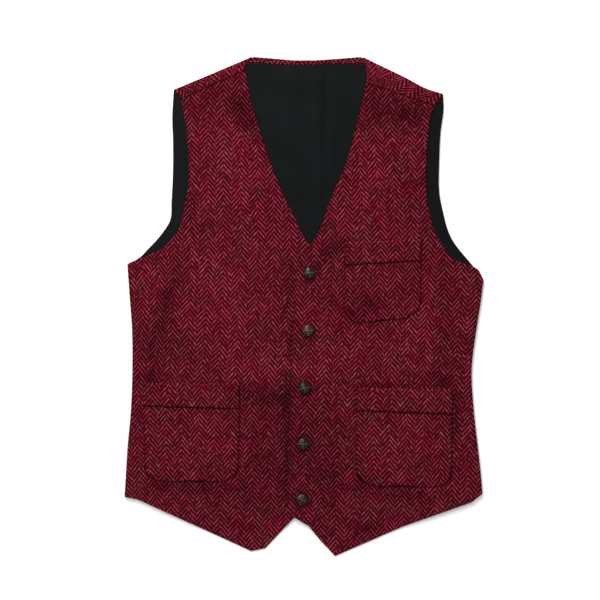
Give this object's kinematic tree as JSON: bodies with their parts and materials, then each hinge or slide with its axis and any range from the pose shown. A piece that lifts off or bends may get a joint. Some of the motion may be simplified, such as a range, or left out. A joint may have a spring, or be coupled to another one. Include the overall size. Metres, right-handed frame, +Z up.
{
  "type": "suit vest",
  "caption": "Sleeveless V-neck suit vest of burgundy herringbone tweed, buttoned left over right, with patch pockets and a satin-lined back, lying flat on its back.",
  "frame": {"origin": "centre of the underside's bounding rectangle, on the surface that the vest lies on", "axes": "+X towards the wearer's left side, +Y from the hem to the neck, +Z up out of the front of the vest"},
  "size_m": [0.504, 0.7008, 0.0151],
  "materials": {
    "tweed": "woven herringbone wool tweed, matt",
    "lining": "black viscose lining satin, dull sheen",
    "button_leather": "plaited dark brown leather, polished"
  },
  "bodies": {
    "root": {"back": "tweed", "back_lining": "lining", "back_neck_band": "tweed", "front_right": "tweed", "front_left": "tweed", "chest_pocket": "tweed", "chest_pocket_cuff": "tweed", "hip_pocket_right": "tweed", "hip_pocket_right_cuff": "tweed", "hip_pocket_left": "tweed", "hip_pocket_left_cuff": "tweed", "button_1": "button_leather", "button_2": "button_leather", "button_3": "button_leather", "button_4": "button_leather", "button_5": "button_leather"}
  },
  "joints": []
}
